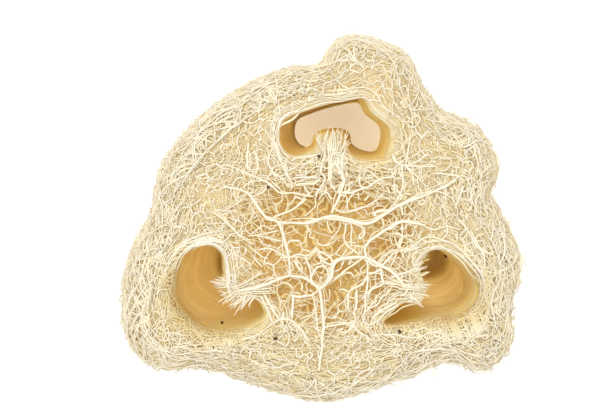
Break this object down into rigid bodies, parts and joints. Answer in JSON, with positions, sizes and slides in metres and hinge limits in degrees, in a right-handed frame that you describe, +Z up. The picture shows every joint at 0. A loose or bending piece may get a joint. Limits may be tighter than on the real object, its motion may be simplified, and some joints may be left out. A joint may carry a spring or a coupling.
{
  "type": "loofah sponge",
  "caption": "Cut length of dried luffa gourd skeleton: a netted outer wall round an open fibre core with seed chambers from end to end, used as a scrubbing sponge.",
  "frame": {"origin": "middle of the bounding box's floor, on the lower cut end", "axes": "+Z up the fruit's axis to the upper cut end; +Y towards the chamber that is open from end to end"},
  "size_m": [0.0966, 0.0869, 0.1055],
  "materials": {
    "fibre": "dry cream plant fibre, matt, with golden tan gaps"
  },
  "bodies": {
    "root": {"loofah_sponge": "fibre"}
  },
  "joints": []
}
